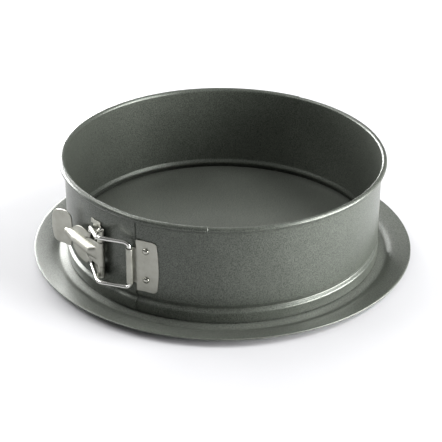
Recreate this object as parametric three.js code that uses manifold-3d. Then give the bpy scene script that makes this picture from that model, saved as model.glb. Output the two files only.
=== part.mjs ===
// Springform pan, 24 cm: a cake band that an over-centre wire clasp closes round a raised base plate.
// Units are millimetres, +Z is up. The origin is on the pan's axis, at the level the base plate rests on.
// The band's seam faces -Y. An azimuth is measured in degrees from -Y towards +X, so the catch is at small
// positive azimuths and the lever at negative ones.
import * as THREE from 'three';
import { mergeVertices } from 'three/addons/utils/BufferGeometryUtils.js';
import Module from 'manifold-3d';

const wasm = await Module();
wasm.setup();

// ---- driving dimensions ----
const SEGMENTS = 72;               // facets round the pan
const SHEET = 0.6;                 // band sheet
const WALL_R = 120.2;              // outer face of the straight wall
const SKIRT_R = 120.8;             // outer face of the skirt below the bead
const GROOVE_R = 118.7;            // deepest line of the bead, seen from outside
const SKIRT_BOTTOM = 3.2;
const SHOULDER_Z = 10.4;           // skirt ends, bead begins
const GROOVE_Z = 13.6;
const BEAD_TOP = 17.4;
const WALL_TOP = 75;               // the wall is straight up to here, below the rolled rim
const ROLL_R = 2.0;                // rolled rim, outside radius
const WIDE_ROLL_R = 2.4;           // the same on the left half and on the sleeve past the seam
const ROLL_CENTRE_R = 121.9;
const ROLL_CENTRE_Z = 78.5;
const ROLL_END = -125;             // degrees round the roll where the curled sheet stops
const RIM_WIRE_R = 1.1;

const SEAM = -0.55;                // azimuth of the left band's end, which lies outside
const TUCK = 7;                    // degrees the right band's end reaches in under the left one
const FLARE = 1.0;                 // how far the left band's end stands out at the seam
const FLARE_START = 15;            // degrees before the seam where it leaves the circle
const SQUEEZE = 0.09;              // how far the tucked end goes in, per degree
const SLEEVE_END = 25.2;
const WIRE_LAP = 5;                // degrees the left rim wire reaches into the right rim

const BASE_SHEET = 0.8;
const FLOOR_Z = 10.6;
const RISER_R = 119.0;
const BASE_EDGE_R = 146.3;

const CLASP_Z = 41;                // mid height of every clasp piece
const CLASP_SHEET = 0.75;
const PIN_R = 1.4;
const CURL_IN = 1.75;              // inside radius of the hinge curls
const CURL_MID = CURL_IN + CLASP_SHEET / 2;
const HINGE = new THREE.Vector2(-30.5, -120.7);
const LEVER_TURN = 154.4;          // direction of the closed lever, degrees from +X
const CATCH = new THREE.Vector2(-3.6, -124.3);
const CATCH_MID = 2.3;             // rolled tube of the catch, mid radius
const CATCH_SHEET = 0.7;
const CATCH_HALF = 14;             // half length of that tube
const WIRE_R = 1.6;
const KNEE = new THREE.Vector2(-27.4, -129.7);
const ARM_Z = 18.3;                // bail arm above or below CLASP_Z, from the catch to the knee
const LEG_TOP = 14.6;              // and where it turns into the leg
const LEG_END = 6.6;
const LEG_ALONG = 15.3;            // bail leg from the hinge, along the lever
const LEG_OUT = -0.2;
const WING_CURL = LEG_ALONG - 1.3; // where the wing's edge begins to curl round the leg
const LEVER_HALF = 9.6;            // half length of the lever's barrel

const RIVET_R = 2.5;
const RIVET_SHANK = 1.2;
const RIVET_HOLE = 1.5;
const CATCH_RIVET_AZ = 3.6;
const CATCH_RIVETS = { upper: 53.6, lower: 30.6 };
const HINGE_RIVET_AZ = -17.9;
const HINGE_RIVETS = { upper: 47, lower: 35 };

// ---- small geometry helpers ----
const rad = THREE.MathUtils.degToRad;

function around(az, r) {
  return new THREE.Vector2(r * Math.sin(rad(az)), -r * Math.cos(rad(az)));
}

function arc(cx, cy, r, from, to, steps) {
  const points = [];
  for (let i = 0; i <= steps; i += 1) {
    const a = rad(from + ((to - from) * i) / steps);
    points.push(new THREE.Vector2(cx + r * Math.cos(a), cy + r * Math.sin(a)));
  }
  return points;
}

function smooth(t) {
  return (1 - Math.cos(Math.PI * THREE.MathUtils.clamp(t, 0, 1))) / 2;
}

function signedVolume(position, index) {
  const a = new THREE.Vector3();
  const b = new THREE.Vector3();
  const c = new THREE.Vector3();
  let sum = 0;
  for (let i = 0; i < index.length; i += 3) {
    a.fromBufferAttribute(position, index[i]);
    b.fromBufferAttribute(position, index[i + 1]);
    c.fromBufferAttribute(position, index[i + 2]);
    sum += a.dot(b.cross(c));
  }
  return sum / 6;
}

// A closed three.js geometry as a manifold solid with its faces pointing out.
function solid(geometry) {
  const bare = geometry.clone();
  bare.deleteAttribute('normal');
  bare.deleteAttribute('uv');
  const merged = mergeVertices(bare, 1e-4);
  const index = [];
  for (let i = 0; i < merged.index.count; i += 3) {
    const [p, q, r] = [0, 1, 2].map((k) => merged.index.getX(i + k));
    if (p !== q && q !== r && r !== p) index.push(p, q, r);
  }
  if (signedVolume(merged.attributes.position, index) < 0) index.reverse();
  const mesh = new wasm.Mesh({
    numProp: 3,
    vertProperties: Float32Array.from(merged.attributes.position.array),
    triVerts: Uint32Array.from(index),
  });
  return new wasm.Manifold(mesh);
}

function unite(parts) {
  return parts.reduce((sum, next) => sum.add(next));
}

function toGeometry(manifold) {
  const mesh = manifold.getMesh();
  const geometry = new THREE.BufferGeometry();
  geometry.setAttribute('position', new THREE.BufferAttribute(Float32Array.from(mesh.vertProperties), 3));
  geometry.setIndex(Array.from(mesh.triVerts));
  const flat = geometry.toNonIndexed();
  flat.computeVertexNormals();
  return flat;
}

// A plan outline (x, y) raised from z = low to z = high.
function prism(outline, low, high) {
  const depth = high - low;
  const geometry = new THREE.ExtrudeGeometry(new THREE.Shape(outline), { depth, bevelEnabled: false });
  return geometry.translate(0, 0, low);
}

// A front outline (x, z) given thickness along y, from y = near to y = far.
function slab(outline, near, far) {
  const depth = far - near;
  const geometry = new THREE.ExtrudeGeometry(new THREE.Shape(outline), { depth, bevelEnabled: false });
  return geometry.rotateX(Math.PI / 2).translate(0, far, 0);
}

// The outline of a bent sheet, from the line down the middle of its thickness.
function strip(line, thickness) {
  const left = [];
  const right = [];
  line.forEach((point, i) => {
    const before = point.clone().sub(line[Math.max(i - 1, 0)]).normalize();
    const after = line[Math.min(i + 1, line.length - 1)].clone().sub(point).normalize();
    const along = before.add(after).normalize();
    const away = new THREE.Vector2(-along.y, along.x).multiplyScalar(thickness / 2);
    left.push(point.clone().add(away));
    right.push(point.clone().sub(away));
  });
  return [...left, ...right.reverse()];
}

// A solid of revolution about the pan's axis from a profile of (radius, height) points.
function turned(profile) {
  return new THREE.LatheGeometry(profile, SEGMENTS).rotateX(Math.PI / 2);
}

// A pie slice of space between two azimuths and two heights.
function sector(from, to, low, high) {
  const steps = Math.max(2, Math.ceil((to - from) / 30));
  const outline = [];
  for (let i = 0; i <= steps; i += 1) outline.push(around(from + ((to - from) * i) / steps, 400));
  outline.push(new THREE.Vector2(0, 0));
  return solid(prism(outline, low, high));
}

function rod(r, length, sides) {
  return new THREE.CylinderGeometry(r, r, length, sides).rotateX(Math.PI / 2);
}

// A rod pointing out through the wall at an azimuth, between two distances from the axis.
function radialRod(r, az, z, inner, outer) {
  const geometry = rod(r, outer - inner, 16).rotateX(Math.PI / 2).translate(0, -(inner + outer) / 2, z);
  return solid(geometry.rotateZ(rad(az)));
}

// ---- band ----
function bandOuterRadius(z) {
  if (z <= SHOULDER_Z) return SKIRT_R;
  if (z <= GROOVE_Z) {
    return THREE.MathUtils.lerp(SKIRT_R, GROOVE_R, smooth((z - SHOULDER_Z) / (GROOVE_Z - SHOULDER_Z)));
  }
  const t = Math.min((z - GROOVE_Z) / (BEAD_TOP - GROOVE_Z), 1);
  return THREE.MathUtils.lerp(GROOVE_R, WALL_R, smooth(t));
}

function bandProfile(rollR) {
  const heights = [SKIRT_BOTTOM];
  for (let i = 0; i <= 4; i += 1) heights.push(THREE.MathUtils.lerp(SHOULDER_Z, GROOVE_Z, i / 4));
  for (let i = 1; i <= 3; i += 1) heights.push(THREE.MathUtils.lerp(GROOVE_Z, BEAD_TOP, i / 3));
  heights.push(WALL_TOP);
  const outer = heights.map((z) => new THREE.Vector2(bandOuterRadius(z), z));
  const inner = heights.map((z) => new THREE.Vector2(bandOuterRadius(z) - SHEET, z)).reverse();
  const curlInside = arc(ROLL_CENTRE_R, ROLL_CENTRE_Z, rollR - SHEET, 180, ROLL_END, 7);
  const curlOutside = arc(ROLL_CENTRE_R, ROLL_CENTRE_Z, rollR, ROLL_END, 180, 7);
  return [...outer, ...curlInside, ...curlOutside, ...inner, outer[0].clone()];
}

// Moves the points of a ring outward by shift(azimuth, height).
function spread(geometry, shift) {
  const position = geometry.attributes.position;
  for (let i = 0; i < position.count; i += 1) {
    const x = position.getX(i);
    const y = position.getY(i);
    const r = Math.hypot(x, y);
    const az = THREE.MathUtils.radToDeg(Math.atan2(x, -y));
    const grow = (r + shift(az, position.getZ(i))) / r;
    position.setXY(i, x * grow, y * grow);
  }
  return geometry;
}

// The left half leaves the circle before the seam, and flattens out as it nears it.
function flare(az) {
  const t = THREE.MathUtils.clamp((az + FLARE_START) / FLARE_START, 0, 1);
  return az > 20 ? 0 : FLARE * t * t;
}

function squeeze(az) {
  return az < 0 && az > -90 ? SQUEEZE * az : 0;
}

// Only the rolled rim of the sleeve stands out, level with the left half's rim at the seam.
function sleeve(az, z) {
  return z > WALL_TOP && az < 30 ? FLARE * THREE.MathUtils.clamp(1 - az / 30, 0, 1) : 0;
}

function rivetHoles(az, heights) {
  return unite(Object.values(heights).map((z) => radialRod(RIVET_HOLE, az, z, 115, 125)));
}

function bandRing(rollR, shift) {
  return solid(spread(turned(bandProfile(rollR)), shift));
}

function bandLeft() {
  const half = bandRing(WIDE_ROLL_R, flare).intersect(sector(-179.93, SEAM, -10, 100));
  return half.subtract(rivetHoles(HINGE_RIVET_AZ, HINGE_RIVETS));
}

function bandRight() {
  const plain = bandRing(ROLL_R, () => 0).intersect(sector(SLEEVE_END, 179.93, -10, 100));
  const wideEnd = SLEEVE_END + 0.02;
  const wide = bandRing(WIDE_ROLL_R, sleeve).intersect(sector(SEAM + 0.15, wideEnd, -10, 100));
  const tuck = bandRing(ROLL_R, squeeze).intersect(sector(-TUCK, SEAM + 0.2, -10, WALL_TOP));
  return unite([plain, wide, tuck]).subtract(rivetHoles(CATCH_RIVET_AZ, CATCH_RIVETS));
}

function rimWire(from, to, shift) {
  const section = arc(ROLL_CENTRE_R, ROLL_CENTRE_Z, RIM_WIRE_R, 0, 360, 8);
  section[section.length - 1].copy(section[0]);
  return solid(spread(turned(section), shift)).intersect(sector(from, to, -10, 100));
}

// ---- base plate ----
function basePlate() {
  const top = [
    [0, FLOOR_Z], [RISER_R - 1.5, FLOOR_Z], [RISER_R - 0.4, FLOOR_Z - 0.5], [RISER_R, FLOOR_Z - 1.6],
    [RISER_R, 3.4], [RISER_R + 0.7, 2.3], [122.3, 2.4], [123.6, 1.8], [124.6, 0.9], [125.6, BASE_SHEET],
    [127.4, BASE_SHEET], [131.4, 3.1], [145, 5.6],
  ];
  const edge = [[145.8, 5.9], [BASE_EDGE_R, 5.2], [145.8, 4.3]];
  const under = [
    [144.8, 4.75], [131.7, 2.3], [127.6, 0], [125.2, 0], [123.9, 0.4], [122.3, 1.5], [119.2, 1.5],
    [RISER_R - BASE_SHEET, 3.2], [RISER_R - BASE_SHEET, FLOOR_Z - 1.7],
    [RISER_R - 1.6, FLOOR_Z - BASE_SHEET], [0, FLOOR_Z - BASE_SHEET],
  ];
  return solid(turned([...top, ...edge, ...under].map(([r, z]) => new THREE.Vector2(r, z))));
}

// ---- catch, on the right band ----
function catchPlate() {
  const mid = WALL_R + 0.3 + CLASP_SHEET / 2;
  const face = [];
  for (let i = 0; i <= 9; i += 1) face.push(around(-0.15 + i, mid));
  const sheet = solid(prism(strip(face, CLASP_SHEET), CLASP_Z - 21, CLASP_Z + 22));
  const outline = new THREE.Shape();
  outline.moveTo(-0.3, 21.5);
  outline.lineTo(13.6, 21.3);
  outline.quadraticCurveTo(15.6, 21.6, 16.2, 24);
  outline.quadraticCurveTo(18.5, 41.5, 15.9, 59.5);
  outline.quadraticCurveTo(15.6, 61.6, 13.4, 61.6);
  outline.lineTo(-0.3, 61.2);
  const trim = solid(slab(outline.getPoints(5), -130, -110));
  const curl = arc(CATCH.x, CATCH.y, CATCH_MID, 90, 350, 13);
  const line = [around(3.2, mid), around(2.4, mid + 0.05), around(0.1, mid + 1.1), ...curl];
  const [low, high] = [CLASP_Z - CATCH_HALF - 0.2, CLASP_Z + CATCH_HALF - 0.2];
  const tongue = solid(prism(strip(line, CATCH_SHEET), low, high));
  return sheet.intersect(trim).add(tongue).subtract(rivetHoles(CATCH_RIVET_AZ, CATCH_RIVETS));
}

// A domed rivet with a flat tail on the inside of the wall.
function rivet() {
  const headBase = WALL_R + 0.3 + CLASP_SHEET + 0.3;
  const tailTop = WALL_R - SHEET - 0.3;
  const dome = arc(0, 0, RIVET_R, 0, 90, 4).map((p) => new THREE.Vector2(p.x, headBase + p.y * 0.5));
  dome[4].x = 0;
  const profile = [
    new THREE.Vector2(0, tailTop - 0.6), new THREE.Vector2(2.1, tailTop - 0.6),
    new THREE.Vector2(2.1, tailTop), new THREE.Vector2(RIVET_SHANK, tailTop),
    new THREE.Vector2(RIVET_SHANK, headBase), ...dome,
  ];
  return new THREE.LatheGeometry(profile, 12).rotateX(Math.PI);
}

// ---- hinge bracket, on the left band ----
function hingeBracket() {
  const mid = WALL_R + 0.4 + CLASP_SHEET / 2;
  const face = [];
  for (let az = -21.6; az < -15; az += 1.1) face.push(around(az, mid));
  const sheet = solid(prism(strip(face, CLASP_SHEET), CLASP_Z - 25, CLASP_Z + 25));
  const outline = [
    [-44.1, 63], [-44.1, 59.6], [-41.3, 59.2], [-41.3, 22.8], [-44.1, 22.4], [-44.1, 19],
    [-33, 19], [-32.4, 21.4], [-34.3, 23], [-34.3, 59], [-32.2, 60.6], [-32.9, 63],
  ];
  const trim = solid(slab(outline.map(([x, z]) => new THREE.Vector2(x, z)), -130, -100));
  const toAxis = THREE.MathUtils.radToDeg(Math.atan2(-HINGE.y, -HINGE.x));
  const curl = arc(HINGE.x, HINGE.y, CURL_MID, toAxis, toAxis - 265, 12);
  const line = [around(-17.8, mid + 0.15), around(-16.6, mid + 0.2), around(-15.7, mid + 0.6), ...curl];
  const knuckles = [[-19.3, -10.3], [10, 19.3]].map(([low, high]) => (
    solid(prism(strip(line, CLASP_SHEET), CLASP_Z + low, CLASP_Z + high))));
  return unite([sheet.intersect(trim), ...knuckles]).subtract(rivetHoles(HINGE_RIVET_AZ, HINGE_RIVETS));
}

function hingePin() {
  return rod(PIN_R, 41, 16);
}

// ---- lever: x runs along it from the hinge, y points out from the pan ----
// The plate's edge: from the barrel along the upper side, round the thumb tab and back below.
function leverOutline() {
  const edge = new THREE.Shape();
  edge.moveTo(-0.5, LEVER_HALF);
  edge.quadraticCurveTo(6, 9.2, WING_CURL, 7);
  edge.lineTo(WING_CURL, 10.8);
  edge.quadraticCurveTo(16, 11.8, 19, 11.9);
  edge.quadraticCurveTo(30, 12, 35.6, 6.9);
  edge.lineTo(38.2, 5.2);
  edge.quadraticCurveTo(38.8, 13.5, 41.5, 14.8);
  edge.quadraticCurveTo(47, 16.5, 55.5, 13);
  edge.quadraticCurveTo(62.5, 10, 63, 2);
  edge.quadraticCurveTo(63.4, -8, 60.5, -11.6);
  edge.quadraticCurveTo(56, -14, 48.5, -13.2);
  edge.lineTo(40.6, -11.6);
  edge.lineTo(39.6, -6);
  edge.lineTo(38.2, -6);
  edge.quadraticCurveTo(37, -13, 30, -14.6);
  edge.quadraticCurveTo(24, -15.6, 17, -14.8);
  edge.lineTo(WING_CURL, -11.8);
  edge.lineTo(WING_CURL, -8);
  edge.quadraticCurveTo(6, -9.6, -0.5, -LEVER_HALF - 0.6);
  return edge.getPoints(5);
}

function lever() {
  const near = CURL_IN;
  const far = CURL_IN + CLASP_SHEET;
  const plate = solid(slab(leverOutline(), near, far));
  const barrelLine = [...arc(0, 0, CURL_MID, 350, 90, 12).slice(0, -1), new THREE.Vector2(0, CURL_MID),
    new THREE.Vector2(4, CURL_MID)];
  const barrel = solid(prism(strip(barrelLine, CLASP_SHEET), -LEVER_HALF - 0.2, LEVER_HALF - 0.2));
  const hookLine = [new THREE.Vector2(LEG_ALONG + 3, CURL_MID), new THREE.Vector2(LEG_ALONG, CURL_MID),
    ...arc(LEG_ALONG, LEG_OUT, CURL_MID - LEG_OUT, 90, 140, 4).slice(1)];
  const hook = (low, high) => solid(prism(strip(hookLine, CLASP_SHEET), low, high));
  const rib = (r, proud) => solid(new THREE.CapsuleGeometry(r, 34, 4, 16).rotateZ(Math.PI / 2)
    .scale(1, proud / r, 1).translate(24.5, CURL_MID, -0.6));
  const front = solid(new THREE.BoxGeometry(120, 20, 60).translate(30, near + 10, 0));
  const skin = unite([plate, barrel, hook(-11.8, -8), hook(7, 11), rib(4.6, 4.2).intersect(front)]);
  return skin.subtract(rib(3.85, 3.45));
}

// ---- bail ----
function bailWire() {
  const turn = rad(LEVER_TURN);
  const leg = new THREE.Vector2(LEG_ALONG, LEG_OUT).rotateAround(new THREE.Vector2(0, 0), turn).add(HINGE);
  const at = (p, z) => new THREE.Vector3(p.x, p.y, z);
  const stops = [
    at(leg, -LEG_END), at(leg, -LEG_TOP), at(KNEE, -ARM_Z), at(CATCH, -ARM_Z),
    at(CATCH, ARM_Z), at(KNEE, ARM_Z), at(leg, LEG_TOP), at(leg, LEG_END),
  ];
  const bends = [0, 2.6, 3, 3.6, 5.4, 3, 2.6, 0];
  const path = new THREE.CurvePath();
  let start = stops[0];
  for (let i = 1; i < stops.length - 1; i += 1) {
    const into = stops[i].clone().lerp(stops[i - 1], bends[i] / stops[i].distanceTo(stops[i - 1]));
    const out = stops[i].clone().lerp(stops[i + 1], bends[i] / stops[i].distanceTo(stops[i + 1]));
    path.add(new THREE.LineCurve3(start, into));
    path.add(new THREE.QuadraticBezierCurve3(into, stops[i], out));
    start = out;
  }
  path.add(new THREE.LineCurve3(start, stops[stops.length - 1]));
  const section = new THREE.Shape(arc(0, 0, WIRE_R, 0, 360, 10).slice(0, -1));
  return new THREE.ExtrudeGeometry(section, { steps: 66, extrudePath: path, bevelEnabled: false });
}

// ---- assembly ----
const pan = new THREE.Group();
pan.name = 'springform_pan';

const COATING = { color: 0x6f736b, roughness: 0.5, metalness: 0.75 };
const NICKEL = { color: 0xb7b8ae, roughness: 0.36, metalness: 0.9 };
const BRIGHT_WIRE = { color: 0xc8c9c4, roughness: 0.16, metalness: 1 };
const PLAIN_STEEL = { color: 0x94958f, roughness: 0.4, metalness: 0.95 };

function add(name, geometry, look, parent = pan) {
  const mesh = new THREE.Mesh(geometry, new THREE.MeshStandardMaterial(look));
  mesh.name = name;
  parent.add(mesh);
  return mesh;
}

add('base_plate', toGeometry(basePlate()), { ...COATING, roughness: 0.46 });
add('band_left', toGeometry(bandLeft()), COATING);
add('band_right', toGeometry(bandRight()), COATING);
add('rim_wire_left', toGeometry(rimWire(-179.5, WIRE_LAP, flare)), PLAIN_STEEL);
add('rim_wire_right', toGeometry(rimWire(WIRE_LAP + 5, 179.5, sleeve)), PLAIN_STEEL);
add('catch_plate', toGeometry(catchPlate()), NICKEL);
add('hinge_bracket', toGeometry(hingeBracket()), NICKEL);

for (const level of ['upper', 'lower']) {
  const onCatch = add(`catch_rivet_${level}`, rivet(), NICKEL);
  onCatch.position.z = CATCH_RIVETS[level];
  onCatch.rotation.z = rad(CATCH_RIVET_AZ);
  const onHinge = add(`hinge_rivet_${level}`, rivet(), NICKEL);
  onHinge.position.z = HINGE_RIVETS[level];
  onHinge.rotation.z = rad(HINGE_RIVET_AZ);
}

const pin = add('hinge_pin', hingePin(), BRIGHT_WIRE);
pin.position.set(HINGE.x, HINGE.y, CLASP_Z);

const leverMesh = add('lever', toGeometry(lever()), NICKEL);
leverMesh.position.set(HINGE.x, HINGE.y, CLASP_Z);
leverMesh.rotation.z = rad(LEVER_TURN);

const bail = add('bail_wire', bailWire(), BRIGHT_WIRE);
bail.position.z = CLASP_Z;

export default pan;
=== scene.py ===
"""Looks of the springform pan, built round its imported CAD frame.

Metres, +Z up, the band's seam towards -Y. Lengths below are millimetres, times MM when a mesh is made.
An azimuth is measured from the seam, positive towards +X.
"""
import math

import bmesh
import bpy
from mathutils import Matrix, Vector


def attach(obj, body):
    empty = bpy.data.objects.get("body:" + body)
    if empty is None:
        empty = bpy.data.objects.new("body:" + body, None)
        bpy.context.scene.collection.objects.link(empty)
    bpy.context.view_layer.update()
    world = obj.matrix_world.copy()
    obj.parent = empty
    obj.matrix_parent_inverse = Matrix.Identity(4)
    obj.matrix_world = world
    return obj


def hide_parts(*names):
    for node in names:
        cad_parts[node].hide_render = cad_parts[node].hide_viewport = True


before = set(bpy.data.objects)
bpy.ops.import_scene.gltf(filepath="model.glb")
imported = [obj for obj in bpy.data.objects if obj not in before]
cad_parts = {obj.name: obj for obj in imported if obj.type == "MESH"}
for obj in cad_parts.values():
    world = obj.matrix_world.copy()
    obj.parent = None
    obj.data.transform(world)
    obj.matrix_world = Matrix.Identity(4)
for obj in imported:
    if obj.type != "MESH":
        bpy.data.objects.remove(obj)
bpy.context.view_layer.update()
MM = 0.001

# ---- dimensions, as in the CAD ----
SHEET = 0.6
WALL_R, SKIRT_R, GROOVE_R = 120.2, 120.8, 118.7
SKIRT_BOTTOM, SHOULDER_Z, GROOVE_Z, BEAD_TOP, WALL_TOP = 3.2, 10.4, 13.6, 17.4, 75.0
ROLL_R, WIDE_ROLL_R = 2.0, 2.4
ROLL_CENTRE_R, ROLL_CENTRE_Z, ROLL_END = 121.9, 78.5, -125
SEAM, TUCK, SLEEVE_END = -0.55, 7.0, 25.2
FLARE, FLARE_START, SQUEEZE = 1.0, 15.0, 0.09
RISER_R, BASE_EDGE_R, FLOOR_Z, BASE_SHEET = 119.0, 146.3, 10.6, 0.8
CLASP_Z, CLASP_SHEET = 41.0, 0.75
CURL_IN = 1.75
CURL_MID = CURL_IN + CLASP_SHEET / 2
HINGE = Vector((-30.5, -120.7))
LEVER_TURN = math.radians(154.4)
CATCH = Vector((-3.6, -124.3))
CATCH_MID, CATCH_SHEET = 2.3, 0.7
WIRE_R, KNEE = 1.6, Vector((-27.4, -129.7))
ARM_Z, LEG_TOP, LEG_END = 18.3, 14.6, 6.6
LEG_ALONG, LEG_OUT = 15.3, -0.2
PIN_R, PIN_HALF, RIVET_R = 1.4, 20.5, 2.5
CATCH_RIVET_AZ, CATCH_RIVETS = 3.6, {"upper": 53.6, "lower": 30.6}
HINGE_RIVET_AZ, HINGE_RIVETS = -17.9, {"upper": 47.0, "lower": 35.0}

# ---- dimensions of the looks alone ----
BACK = 180.35               # each half reaches a little past the back, so that no gap shows there
SEAM_PROUD = 0.22           # how far the right half's wall stands out at the seam
GROOVE_TUCK = 0.3           # the tucked end's groove is pushed in by this much, clear of the left half's
CATCH_SEAT, HINGE_SEAT = 121.15, 121.3              # radius that the rivet heads sit on
TONGUE_LOW, TONGUE_HIGH = 26.7, 54.7                # heights of the catch plate's rolled tongue
KNUCKLES = ((21.8, 30.8), (51.0, 60.4))             # heights of the hinge bracket's two curls
STRIP_TOP, STRIP_FOOT = 22.5, 59.6                  # its wider strips lie below and above these
BASE_BEND = 2.0             # radius of the bend between the cake floor and the riser


def around(az, r):
    a = math.radians(az)
    return Vector((r * math.sin(a), -r * math.cos(a)))


def arc(cx, cy, r, start, end, steps):
    turns = (math.radians(start + (end - start) * i / steps) for i in range(steps + 1))
    return [Vector((cx + r * math.cos(a), cy + r * math.sin(a))) for a in turns]


def lerp(a, b, t):
    return a + (b - a) * t


def smooth(t):
    t = min(max(t, 0.0), 1.0)
    return (1 - math.cos(math.pi * t)) / 2


def span(start, end, step):
    count = max(1, round(abs(end - start) / step))
    return [lerp(start, end, i / count) for i in range(count + 1)]


def through(points, x):
    """The height at x on the straight lines between (x, height) points."""
    for (x0, y0), (x1, y1) in zip(points, points[1:]):
        if x <= x1:
            return lerp(y0, y1, max(0.0, (x - x0) / (x1 - x0)))
    return points[-1][1]


# ---- materials ----
class Nodes:
    """Short calls for a material's nodes."""

    def __init__(self, name):
        self.material = bpy.data.materials.new(name)
        self.material.use_nodes = True
        self.tree = self.material.node_tree
        self.shader = self.tree.nodes["Principled BSDF"]
        coordinates = self.tree.nodes.new("ShaderNodeTexCoord")
        self.place = coordinates.outputs["Object"]

    def link(self, source, target):
        self.tree.links.new(source, target)

    def noise(self, scale, detail=3.0, rough=0.5, stretch=None):
        node = self.tree.nodes.new("ShaderNodeTexNoise")
        node.inputs["Scale"].default_value = scale
        node.inputs["Detail"].default_value = detail
        node.inputs["Roughness"].default_value = rough
        place = self.place
        if stretch:
            mapping = self.tree.nodes.new("ShaderNodeMapping")
            mapping.inputs["Scale"].default_value = stretch
            self.link(place, mapping.inputs["Vector"])
            place = mapping.outputs["Vector"]
        self.link(place, node.inputs["Vector"])
        return node.outputs["Fac"]

    def ramp(self, source, stops):
        node = self.tree.nodes.new("ShaderNodeValToRGB")
        elements = node.color_ramp.elements
        while len(elements) < len(stops):
            elements.new(0.5)
        for element, (position, colour) in zip(elements, stops):
            element.position = position
            rgb = colour if isinstance(colour, tuple) else (colour,) * 3
            element.color = (*rgb, 1.0)
        self.link(source, node.inputs["Fac"])
        return node.outputs["Color"]

    def mix(self, kind, factor, a, b):
        node = self.tree.nodes.new("ShaderNodeMix")
        node.data_type = "RGBA"
        node.blend_type = kind
        node.inputs["Factor"].default_value = factor
        self.link(a, node.inputs["A"])
        self.link(b, node.inputs["B"])
        return node.outputs["Result"]

    def bump(self, source, strength, distance, after=None):
        node = self.tree.nodes.new("ShaderNodeBump")
        node.inputs["Strength"].default_value = strength
        node.inputs["Distance"].default_value = distance
        self.link(source, node.inputs["Height"])
        if after:
            self.link(after, node.inputs["Normal"])
        return node.outputs["Normal"]

    def set(self, **values):
        for name, value in values.items():
            self.shader.inputs[name.replace("_", " ")].default_value = value


def coating(name, dark, light, rough):
    """Grey non-stick coat: a fine fleck in colour, gloss and height over slow clouds."""
    n = Nodes(name)
    fleck = n.noise(1500, 2, 0.6)
    cloud = n.noise(28, 4, 0.55)
    grain = n.noise(900, 3, 0.6)
    colour = n.ramp(fleck, [(0.36, dark), (0.62, light)])
    tone = n.ramp(cloud, [(0.3, 0.86), (0.7, 1.0)])
    n.link(n.mix("MULTIPLY", 1.0, colour, tone), n.shader.inputs["Base Color"])
    n.link(n.ramp(grain, [(0.3, rough - 0.05), (0.7, rough + 0.05)]), n.shader.inputs["Roughness"])
    n.link(n.bump(fleck, 0.17, 0.00012, n.bump(grain, 0.1, 0.0002)), n.shader.inputs["Normal"])
    n.set(Metallic=0.42, IOR=1.5)
    return n.material


def nickel(name, rough):
    """Satin nickel plate over stamped sheet, with faint rolling lines and rubbed spots."""
    n = Nodes(name)
    lines = n.noise(700, 3, 0.6, (0.08, 0.08, 1.0))
    cloud = n.noise(120, 4, 0.6)
    tones = [(0.25, (0.29, 0.29, 0.252)), (0.55, (0.355, 0.355, 0.315)), (0.8, (0.41, 0.41, 0.37))]
    n.link(n.ramp(cloud, tones), n.shader.inputs["Base Color"])
    gloss = n.mix("MULTIPLY", 0.5, n.ramp(cloud, [(0.2, rough - 0.07), (0.8, rough + 0.08)]),
                  n.ramp(lines, [(0.3, 0.8), (0.7, 1.0)]))
    n.link(gloss, n.shader.inputs["Roughness"])
    n.link(n.bump(lines, 0.05, 0.00005, n.bump(cloud, 0.03, 0.0001)), n.shader.inputs["Normal"])
    n.set(Metallic=1.0)
    return n.material


def wire(name, tone, rough):
    """Drawn wire: smears of gloss and fine scratches."""
    n = Nodes(name)
    smear = n.noise(260, 4, 0.6)
    scratch = n.noise(2200, 2, 0.5, (1.0, 1.0, 0.15))
    dull = tuple(0.88 * c for c in tone)
    n.link(n.ramp(smear, [(0.3, dull), (0.7, tone)]), n.shader.inputs["Base Color"])
    n.link(n.ramp(smear, [(0.3, rough - 0.04), (0.7, rough + 0.07)]), n.shader.inputs["Roughness"])
    n.link(n.bump(scratch, 0.05, 0.00006), n.shader.inputs["Normal"])
    n.set(Metallic=1.0)
    return n.material


COAT = coating("band coating", (0.036, 0.041, 0.034), (0.112, 0.122, 0.104), 0.33)
BASE_COAT = coating("base coating", (0.051, 0.057, 0.048), (0.150, 0.161, 0.140), 0.40)
NICKEL = nickel("satin nickel", 0.42)
RIVET_NICKEL = nickel("rivet nickel", 0.20)
CHROME = wire("polished wire", (0.66, 0.66, 0.63), 0.10)
PLAIN = wire("plain wire", (0.42, 0.42, 0.40), 0.36)


# ---- meshes ----
def put(name, data):
    obj = bpy.data.objects.new(name, data)
    bpy.context.scene.collection.objects.link(obj)
    return obj


def finish_piece(name, mesh, material, body, nodes, thickness=0.0, bevel=0.0, even=True):
    """Puts a mesh in the scene; thickness makes a sheet of a surface, and bevel rounds its edges."""
    mesh.materials.append(material)
    obj = put(name, mesh)
    if thickness:
        solidify = obj.modifiers.new("thickness", "SOLIDIFY")
        solidify.thickness = thickness * MM
        solidify.offset = 0
        solidify.use_even_offset = even
    if bevel:
        edges = obj.modifiers.new("edges", "BEVEL")
        edges.width = bevel * MM
        edges.segments = 2
        edges.limit_method = "ANGLE"
        edges.angle_limit = math.radians(50)
    for polygon in mesh.polygons:
        polygon.use_smooth = True
    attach(obj, body)
    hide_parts(*nodes)
    return obj


def add_rows(made, rows, keep=None, close=False):
    """Quads between rows of points in millimetres. keep(i, j) says whether quad i, j exists."""
    verts = [[made.verts.new(point * MM) for point in row] for row in rows]
    last = len(rows) if close else len(rows) - 1
    for i in range(last):
        a, b = verts[i], verts[(i + 1) % len(rows)]
        for j in range(len(a) - 1):
            if keep is None or keep(i, j):
                made.faces.new((a[j], a[j + 1], b[j + 1], b[j]))


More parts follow.
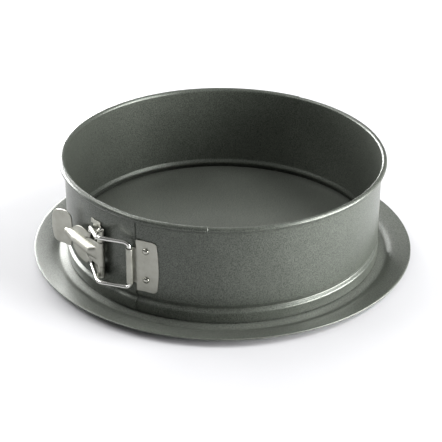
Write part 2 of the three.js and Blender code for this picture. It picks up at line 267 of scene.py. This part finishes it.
def close_mesh(name, made, merge):
    """The finished mesh, with points nearer than merge joined and its faces turned one way."""
    bmesh.ops.remove_doubles(made, verts=made.verts, dist=merge)
    bmesh.ops.recalc_face_normals(made, faces=made.faces)
    mesh = bpy.data.meshes.new(name)
    made.to_mesh(mesh)
    made.free()
    return mesh


def grid_mesh(name, rows, keep=None, close=False):
    """A sheet's middle surface, as one grid."""
    made = bmesh.new()
    add_rows(made, rows, keep, close)
    for vert in [v for v in made.verts if not v.link_faces]:
        made.verts.remove(vert)
    return close_mesh(name, made, 1e-7)


def turned_mesh(name, profile, segments):
    """A solid turned about Z from (radius, height) points that start and end on the axis."""
    rows = []
    for i in range(segments):
        a = 2 * math.pi * i / segments
        rows.append([Vector((r * math.sin(a), -r * math.cos(a), z)) for r, z in profile])
    return grid_mesh(name, rows, close=True)


# ---- band ----
def band_radius(z):
    if z <= SHOULDER_Z:
        return SKIRT_R
    if z <= GROOVE_Z:
        return lerp(SKIRT_R, GROOVE_R, smooth((z - SHOULDER_Z) / (GROOVE_Z - SHOULDER_Z)))
    return lerp(GROOVE_R, WALL_R, smooth((z - GROOVE_Z) / (BEAD_TOP - GROOVE_Z)))


def flare(az, _z):
    """How far the left half stands outside the plain band: its end swells over the tucked one."""
    t = min(max((az + FLARE_START) / FLARE_START, 0.0), 1.0)
    return FLARE * t * t


def right_shift(az, z):
    """How far the right half stands outside the plain band, less where it is tucked under the left one."""
    if az < 0:
        if z >= WALL_TOP + 0.1:
            return FLARE
        by_groove = smooth((z - SHOULDER_Z + 1) / 1.6) * smooth((BEAD_TOP + 1 - z) / 1.6)
        return SEAM_PROUD + SQUEEZE * az - GROOVE_TUCK * smooth(-az / 0.5) * by_groove
    proud = SEAM_PROUD * smooth(1 - az / 10)
    if z <= WALL_TOP:
        return proud
    if az >= SLEEVE_END:
        return 0.0
    rise = smooth((z - WALL_TOP) / 2)
    return proud * (1 - rise) + FLARE * max(0.0, 1 - az / 30) * rise


WALL_HEIGHTS = (span(SKIRT_BOTTOM, SHOULDER_Z, 1.2) + span(SHOULDER_Z, GROOVE_Z, 0.2)[1:]
                + span(GROOVE_Z, BEAD_TOP, 0.25)[1:] + span(BEAD_TOP, WALL_TOP, 5.8)[1:])
ROLL_STEPS = 40


def band_row(az, roll_r, shift):
    """The band's section at an azimuth, from the skirt's foot up the wall and round the rolled rim."""
    row = []
    for z in WALL_HEIGHTS:
        row.append((band_radius(z) - SHEET / 2 + shift(az, z), z))
    for p in arc(ROLL_CENTRE_R, ROLL_CENTRE_Z, roll_r - SHEET / 2, 180, ROLL_END, ROLL_STEPS):
        row.append((p.x + shift(az, p.y), p.y))
    return [Vector((*around(az, r), z)) for r, z in row]


def band_half(name, azimuths, roll_r, shift, body, nodes, keep=None):
    rows = [band_row(az, roll_r(az), shift) for az in azimuths]
    mesh = grid_mesh(name, rows, keep)
    return finish_piece(name, mesh, COAT, body, nodes, SHEET, 0.12)


LEFT_AZIMUTHS = span(-BACK, -16, 1.0) + span(-16, SEAM, 0.5)[1:]
RIGHT_AZIMUTHS = (span(-TUCK, -0.6, 0.5) + [-0.49] + span(0, 24.5, 0.5) + span(24.8, 25.6, 0.05)
                  + span(26, BACK, 1.0))
WALL_COLUMNS = len(WALL_HEIGHTS) - 1


def left_roll(_az):
    return WIDE_ROLL_R


def right_roll(az):
    """The roll is wide from the seam to the sleeve's end, and narrow beyond it."""
    return lerp(WIDE_ROLL_R, ROLL_R, smooth((az - SLEEVE_END + 0.1) / 0.2))


def right_keep(i, j):
    """The tucked end has no rolled rim."""
    return RIGHT_AZIMUTHS[i] > -0.5 or j < WALL_COLUMNS


band_half("left_band", LEFT_AZIMUTHS, left_roll, flare, "left_half", ["band_left"])
band_half("right_band", RIGHT_AZIMUTHS, right_roll, right_shift, "right_half", ["band_right"], right_keep)


# ---- base plate ----
def base_profile():
    """(radius, height) round the section: cake floor, riser, groove, flange and lip, then back below."""
    top = [(0.0, FLOOR_Z)] + [(r, FLOOR_Z) for r in (20, 40, 60, 80, 100, 110)]
    top += [tuple(p) for p in arc(RISER_R - BASE_BEND, FLOOR_Z - BASE_BEND, BASE_BEND, 90, 0, 10)]
    top += [(RISER_R, z) for z in (7.0, 5.0, 4.0)]
    top += [tuple(p) for p in arc(RISER_R + 1.6, 3.9, 1.6, 180, 265, 6)[1:]]
    top += [(121.4, 2.22), (122.2, 2.06), (123.2, 1.82), (124.2, 1.56), (125.2, 1.28), (126.0, 1.06)]
    top += [(126.6, 0.96), (127.2, 0.95), (128.2, 1.3), (129.4, 1.85), (130.6, 2.42), (131.8, 2.9)]
    top += [(133.2, 3.32), (136, 4.0), (139, 4.6), (142, 5.2), (144.6, 5.7)]
    lip = [tuple(p) for p in arc(BASE_EDGE_R - 0.7, 5.15, 0.7, 80, -90, 8)]
    under = [(144.8, 4.6), (142, 4.3), (139, 3.75), (136, 3.15), (133.2, 2.6), (131.8, 2.25)]
    under += [(130.2, 1.5), (128.9, 0.6), (127.8, 0.1), (127.0, 0.0), (126, 0.0), (125.2, 0.05)]
    under += [(124.2, 0.35), (123.2, 1.1), (122.3, 1.45), (120.0, 1.5), (118.9, 2.0)]
    under += [(RISER_R - BASE_SHEET, 3.2), (RISER_R - BASE_SHEET, 8.4)]
    bend = arc(RISER_R - BASE_BEND, FLOOR_Z - BASE_BEND, BASE_BEND - BASE_SHEET, 0, 90, 6)
    under += [tuple(p) for p in bend[1:]] + [(r, FLOOR_Z - BASE_SHEET) for r in (100.0, 50.0, 0.0)]
    return top + lip + under


base_mesh = turned_mesh("pan_base", base_profile(), 360)
finish_piece("pan_base", base_mesh, BASE_COAT, "base", ["base_plate"])


# ---- catch plate ----
CATCH_EDGE = [              # (height, X) of the plate's edge on the wall
    (20.9, 12.6), (21.0, 13.4), (21.3, 14.3), (22.0, 15.3), (23.2, 16.0), (25, 16.4), (33, 17.2),
    (41, 17.4), (50, 17.0), (56, 16.4), (59.2, 15.9), (60.6, 15.3), (61.3, 14.6), (61.6, 13.8),
    (61.7, 12.8),
]


def catch_plate():
    """From the curl that the bail hooks into, over the seam's step, to the plate's edge on the wall."""
    mid = WALL_R + 0.15 + CLASP_SHEET / 2
    heights = [20.9, 21.0, 21.15, 21.35, 21.6, 22.0, 22.5, 23.2, 24.0, 25.4] + span(26.8, 54.8, 1.0)
    heights += [56, 57.2, 58.4, 59.2, 59.9, 60.5, 60.9, 61.2, 61.4, 61.55, 61.65, 61.7]
    curl = arc(CATCH.x, CATCH.y, CATCH_MID, 350, 90, 34)
    rows = []
    for z in heights:
        row = [Vector((*p, z)) for p in curl]
        row += [Vector((*p, z)) for p in (around(-0.9, mid + 1.18), around(-0.3, mid + 1.0))]
        for az in span(0.05, 4.2, 0.25):
            step = 0.95 * smooth((3.3 - az) / 3.4)
            row.append(Vector((*around(az, mid + step), z)))
        right = math.degrees(math.asin(through(CATCH_EDGE, z) / mid))
        row += [Vector((*around(lerp(4.2, right, t), mid), z)) for t in span(0.1, 1.0, 0.1)]
        rows.append(row)
    tongue = len(curl) + 1

    def keep(i, j):
        return j > tongue or TONGUE_LOW < heights[i] < TONGUE_HIGH

    mesh = grid_mesh("catch_sheet", rows, keep)
    finish_piece("catch_sheet", mesh, NICKEL, "right_half", ["catch_plate"],
                 CATCH_SHEET, 0.18)


catch_plate()


# ---- rivets ----
def rivet(name, az, z, seat, body, node):
    """A rivet whose domed head sits on the plate at radius seat, with its flat tail inside the wall."""
    rim, dome = seat + 0.25, 1.5
    profile = [(0.0, seat - 2.9), (2.0, seat - 2.9), (2.15, seat - 2.75), (2.1, seat - 2.35)]
    profile += [(1.2, seat - 2.3), (1.2, seat - 0.05), (2.3, seat - 0.05), (2.48, seat + 0.05)]
    profile += [(RIVET_R, rim)]
    profile += [(p.x * RIVET_R, rim + (p.y - rim) * dome) for p in arc(0, rim, 1, 8, 90, 10)[:-1]]
    profile += [(0.0, rim + dome)]
    mesh = turned_mesh(name, profile, 40)
    turn = Matrix.Rotation(math.radians(az), 4, "Z") @ Matrix.Rotation(math.radians(90), 4, "X")
    mesh.transform(Matrix.Translation((0, 0, z * MM)) @ turn)
    finish_piece(name, mesh, RIVET_NICKEL, body, [node])


for level in ("upper", "lower"):
    rivet(f"rivet_catch_{level}", CATCH_RIVET_AZ, CATCH_RIVETS[level], CATCH_SEAT,
          "right_half", f"catch_rivet_{level}")
    rivet(f"rivet_hinge_{level}", HINGE_RIVET_AZ, HINGE_RIVETS[level], HINGE_SEAT,
          "left_half", f"hinge_rivet_{level}")


# ---- hinge bracket ----
def hinge_bracket():
    """A plate on the wall, wider along its top and foot, with two knuckles curled round the pin."""
    mid = WALL_R + 0.25 + CLASP_SHEET / 2
    heights = (span(19.0, 22.4, 0.4) + span(22.8, 30.6, 0.6) + [30.9] + span(31.5, 50.5, 1.0) + [51.1]
               + span(51.4, 60.2, 0.6) + [60.6] + span(61.0, 63.0, 0.4))
    to_axis = math.degrees(math.atan2(-HINGE.y, -HINGE.x))
    curl = arc(HINGE.x, HINGE.y, CURL_MID, to_axis, to_axis - 265, 30)
    bend = [around(-16.35, mid + 0.02), around(-16.0, mid + 0.2), around(-15.6, mid + 0.65)]
    flat = span(-21.4, -16.7, 0.235)
    rows = []
    for z in heights:
        row = [Vector((*around(az, mid), z)) for az in flat]
        row += [Vector((*p, z)) for p in bend]
        row += [Vector((*p, z)) for p in curl]
        rows.append(row)
    edge = next(j for j, az in enumerate(flat) if az >= -20.05)

    def keep(i, j):
        z = (heights[i] + heights[i + 1]) / 2
        strip = z < STRIP_TOP or z > STRIP_FOOT
        knuckle = any(low < z < high for low, high in KNUCKLES)
        if j < edge:
            return strip
        if j < len(flat):
            return True
        if j < len(flat) + 1:
            return strip or knuckle
        return knuckle

    mesh = grid_mesh("hinge_sheet", rows, keep)
    finish_piece("hinge_sheet", mesh, NICKEL, "left_half", ["hinge_bracket"],
                 CLASP_SHEET, 0.18)


hinge_bracket()


def hinge_pin():
    foot = [(0, 0), (PIN_R - 0.35, 0), (PIN_R - 0.1, 0.1), (PIN_R, 0.4)]
    profile = [(r, z - PIN_HALF) for r, z in foot] + [(r, PIN_HALF - z) for r, z in reversed(foot)]
    mesh = turned_mesh("pivot_pin", profile, 32)
    mesh.transform(Matrix.Translation(Vector((HINGE.x, HINGE.y, CLASP_Z)) * MM))
    finish_piece("pivot_pin", mesh, CHROME, "left_half", ["hinge_pin"])


hinge_pin()

# ---- lever: x along it from the hinge, y out from the pan, z from the clasp's middle ----
RIB = {"z": -0.6, "half": 4.7, "proud": 4.1, "end": 46.6, "end_half": 2.7, "end_proud": 2.0}
CENTRE_TOP = [
    (-9, 9.4), (-0.5, 9.4), (4.5, 8.9), (9.4, 8.1), (12.6, 7.35), (14.3, 6.5), (19.4, 5.2), (38.4, 5.2),
]
CENTRE_LOW = [
    (-9, -9.8), (-0.5, -9.8), (4, -9.7), (8, -9.3), (12.6, -8.6), (14.3, -8.0), (18, -6.4), (38.4, -6.4),
]
WING_TOP = [
    (15.3, 10.9), (17.4, 11.6), (20.6, 11.8), (23.8, 11.5), (27, 11.0), (29.8, 10.2), (32.6, 8.8),
    (35.6, 6.7), (37.0, 5.6), (38.0, 5.25),
]
WING_LOW = [
    (15.3, -12.6), (16.4, -14.3), (18, -15.3), (22, -15.7), (27.9, -15.5), (31, -14.9), (34, -13.3),
    (36.4, -10.8), (37.6, -8.6), (38.0, -6.6),
]
TAB_TOP = [
    (38.7, 12.0), (39.3, 13.4), (40.6, 14.4), (42.6, 15.1), (45, 15.4), (48, 15.3), (52, 14.5),
    (56, 13.2), (59, 11.4), (61, 9.2), (62.4, 6.2), (63.0, 3.4), (63.2, 1.4),
]
TAB_LOW = [
    (38.7, -6.8), (39.5, -7.2), (40.3, -11.0), (41, -11.6), (44, -12.1), (48.4, -12.7), (52, -13.1),
    (56, -13.3), (58.6, -12.9), (60.6, -11.4), (62.0, -8.4), (62.8, -4.8), (63.2, -2.4),
]
TAB_START = 38.4            # the tab's outline takes over from the centre's here
WING_END = 38.0


def lever_out(x, z):
    """Distance of the sheet's middle from the hinge axis plane, with the pressed rib and the raised tab."""
    taper, rise = smooth((x - 30) / 14), smooth((x - 0.5) / 9)
    half = lerp(RIB["half"], RIB["end_half"], taper)
    beyond = max(0.0, x - RIB["end"] + RIB["end_half"])
    q = math.hypot(beyond, z - RIB["z"]) / half
    rib = lerp(RIB["proud"], RIB["end_proud"], taper) * rise * max(0.0, 1 - q * q) ** 0.62
    tab = 3.6 * smooth((x - 33) / 34) * smooth((x - 33) / 6)
    dish = 0.5 * smooth((x - 48) / 10) * (abs(z - 1) / 14) ** 2
    return CURL_MID + tab + dish + rib


def rib_columns():
    """Heights across the middle of the sheet, close together on the rib's flanks."""
    return [RIB["z"] + RIB["half"] * 1.03 * math.sin(math.radians(t)) for t in span(-78, 78, 4.0)]


def to_pan(x, y, z):
    """A point of the lever's own frame, in the pan's."""
    turned = Matrix.Rotation(LEVER_TURN, 2) @ Vector((x, y))
    return Vector((turned.x + HINGE.x, turned.y + HINGE.y, z + CLASP_Z))


def stations():
    """Places along the lever, closer together at the rib's two ends."""
    xs = span(0.4, 2.6, 0.55) + span(2.8, 9, 0.3) + span(9.6, 14, 0.55) + [14.3] + span(14.8, 41.6, 0.67)
    return xs + span(41.9, 48.3, 0.3) + span(48.9, 61.4, 0.7) + [62.0, 62.5, 62.9, 63.15]


def lever():
    """The barrel, the ribbed middle and the tab are one patch, and each wing with its curl is another."""
    rib = rib_columns()
    made = bmesh.new()

    def patch(rows):
        add_rows(made, [[to_pan(*p) for p in row] for row in rows])

    def across(x, low, top):
        below = [lerp(low, rib[0], t / 5) for t in range(5)]
        above = [lerp(rib[-1], top, t / 5) for t in range(1, 6)]
        return [(x, lever_out(x, z), z) for z in below + rib + above]

    middle = []
    for p in arc(0, 0, CURL_MID, 350, 90, 34):
        low, top = through(CENTRE_LOW, 0), through(CENTRE_TOP, 0)
        middle.append([(p.x, p.y, z) for _, _, z in across(0, low, top)])
    for x in stations():
        low, top = through(CENTRE_LOW, x), through(CENTRE_TOP, x)
        if x > TAB_START:
            low, top = through(TAB_LOW, x), through(TAB_TOP, x)
        middle.append(across(x, low, top))
    patch(middle)

    for inner, outer, gap in ((CENTRE_TOP, WING_TOP, 1.4), (CENTRE_LOW, WING_LOW, -1.2)):
        rows = []
        hook = arc(LEG_ALONG, LEG_OUT, CURL_MID - LEG_OUT, 140, 90, 14)
        edge, tip = through(inner, LEG_ALONG) + gap, through(outer, LEG_ALONG)
        for p in hook:
            rows.append([(p.x, p.y, lerp(edge, tip, t / 8)) for t in range(9)])
        along = [x for x in stations() if LEG_ALONG < x <= WING_END]
        for x in along:
            slot = gap * max(0.0, 1 - (x - LEG_ALONG) / 4.6)
            low, top = through(inner, x) + slot, through(outer, x)
            heights = [lerp(low, top, t / 8) for t in range(9)]
            rows.append([(x, lever_out(x, z), z) for z in heights])
        patch(rows)

    mesh = close_mesh("lever_stamping", made, 2e-5)
    finish_piece("lever_stamping", mesh, NICKEL, "lever_body", ["lever"],
                 CLASP_SHEET, 0.15, False)


lever()


# ---- bail ----
def bail_path():
    """The wire's centre line, from leg to leg, with each corner a curve of 13 points."""
    turned = Matrix.Rotation(LEVER_TURN, 2) @ Vector((LEG_ALONG, LEG_OUT))
    leg = turned + HINGE
    stops = [(leg, -LEG_END), (leg, -LEG_TOP), (KNEE, -ARM_Z), (CATCH, -ARM_Z),
             (CATCH, ARM_Z), (KNEE, ARM_Z), (leg, LEG_TOP), (leg, LEG_END)]
    stops = [Vector((p.x, p.y, CLASP_Z + z)) for p, z in stops]
    bends = [0, 2.6, 3, 3.6, 5.4, 3, 2.6, 0]        # how far from each stop its curve starts
    points = [stops[0]]
    for i in range(1, len(stops) - 1):
        into = stops[i].lerp(stops[i - 1], bends[i] / (stops[i] - stops[i - 1]).length)
        out = stops[i].lerp(stops[i + 1], bends[i] / (stops[i] - stops[i + 1]).length)
        for k in range(13):
            t = k / 12
            points.append(into.lerp(stops[i], t).lerp(stops[i].lerp(out, t), t))
    return points + [stops[-1]]


def bail():
    points = bail_path()
    curve = bpy.data.curves.new("bail", "CURVE")
    curve.dimensions = "3D"
    curve.bevel_depth = WIRE_R * MM
    curve.bevel_resolution = 7
    curve.use_fill_caps = True
    curve.twist_mode = "MINIMUM"
    spline = curve.splines.new("POLY")
    spline.points.add(len(points) - 1)
    for target, point in zip(spline.points, points):
        target.co = (*(point * MM), 1)
    spline.use_smooth = True
    curve.materials.append(CHROME)
    obj = put("bail", curve)
    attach(obj, "bail_body")
    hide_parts("bail_wire")


bail()

# ---- rim wires: the CAD solids, hidden in the rolled rims ----
for node in ("rim_wire_left", "rim_wire_right"):
    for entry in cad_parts[node].material_slots:
        entry.material = PLAIN

# ---- camera ----
CAMERA_AT = Vector((491.6, -851.6, 547.4)) * MM
LOOK = Vector((-0.44171, 0.76275, -0.47234))
ROLL = math.radians(0.463)
LENS = 116.8


def add_camera():
    data = bpy.data.cameras.new("camera")
    data.lens = LENS
    data.sensor_width = 36
    data.clip_start = 0.05
    data.clip_end = 30
    camera = put("camera", data)
    turn = LOOK.to_track_quat("-Z", "Y").to_matrix() @ Matrix.Rotation(ROLL, 3, "Z")
    camera.matrix_world = Matrix.Translation(CAMERA_AT) @ turn.to_4x4()
    bpy.context.scene.camera = camera


add_camera()


# ---- floor and light ----
def add_floor():
    """A pale floor half a millimetre below the pan, with painted shade round the pan: darker near it, paler
    away from it.
    """
    plane = bpy.data.meshes.new("floor")
    corners = [(x, y, -0.0005) for x, y in ((-20, -20), (20, -20), (20, 20), (-20, 20))]
    plane.from_pydata(corners, [], [(0, 1, 2, 3)])
    n = Nodes("floor")
    tone = n.ramp(n.noise(6, 3, 0.5), [(0.3, (0.79, 0.79, 0.81)), (0.7, (0.85, 0.85, 0.87))])
    # painted shade: the floor's colour is multiplied by 0.55 within half a metre of the pan's middle,
    # fading out by one metre
    nearness = n.tree.nodes.new("ShaderNodeTexGradient")
    nearness.gradient_type = "SPHERICAL"
    n.link(n.place, nearness.inputs["Vector"])
    painted_shade = n.ramp(nearness.outputs["Fac"], [(0.0, 1.0), (0.5, 0.55)])
    n.link(n.mix("MULTIPLY", 1.0, tone, painted_shade), n.shader.inputs["Base Color"])
    n.set(Roughness=0.85)
    plane.materials.append(n.material)
    floor = put("floor", plane)


def add_light(name, az, elevation, distance, width, height, power):
    """A soft box at an azimuth and elevation from the pan, facing it."""
    a, e = math.radians(az), math.radians(elevation)
    towards = Vector((math.sin(a) * math.cos(e), -math.cos(a) * math.cos(e), math.sin(e)))
    place = towards * distance
    data = bpy.data.lights.new(name, "AREA")
    data.shape = "RECTANGLE"
    data.size, data.size_y = width, height
    data.energy = power
    light = put(name, data)
    turn = (-place).to_track_quat("-Z", "Y").to_matrix().to_4x4()
    light.matrix_world = Matrix.Translation(place) @ turn


add_floor()
for settings in (           # azimuth, elevation, distance, width, height, power
    ("left box", -111, 12, 1.1, 1.3, 0.5, 43),
    ("right box", 103, 11, 1.0, 0.9, 0.45, 35),
    ("high left box", -68, 50, 1.3, 0.8, 0.5, 10),
    ("high right box", 112, 48, 1.2, 0.5, 0.4, 12),
    ("back box", 225, 50, 1.8, 1.4, 0.8, 7),
):
    add_light(*settings)


def add_world():
    """A soft sky: dim near the horizon and white overhead."""
    world = bpy.data.worlds.new("world")
    bpy.context.scene.world = world
    world.use_nodes = True
    links, nodes = world.node_tree.links, world.node_tree.nodes
    direction = nodes.new("ShaderNodeTexCoord")
    parts = nodes.new("ShaderNodeSeparateXYZ")
    sky = nodes.new("ShaderNodeValToRGB")
    for element, (position, value) in zip(sky.color_ramp.elements, ((0.12, 0.08), (0.6, 1.0))):
        element.position = position
        element.color = (value, value, value, 1)
    links.new(direction.outputs["Generated"], parts.inputs["Vector"])
    links.new(parts.outputs["Z"], sky.inputs["Fac"])
    links.new(sky.outputs["Color"], nodes["Background"].inputs["Color"])
    nodes["Background"].inputs["Strength"].default_value = 0.34


add_world()
bpy.context.scene.view_settings.view_transform = "Standard"
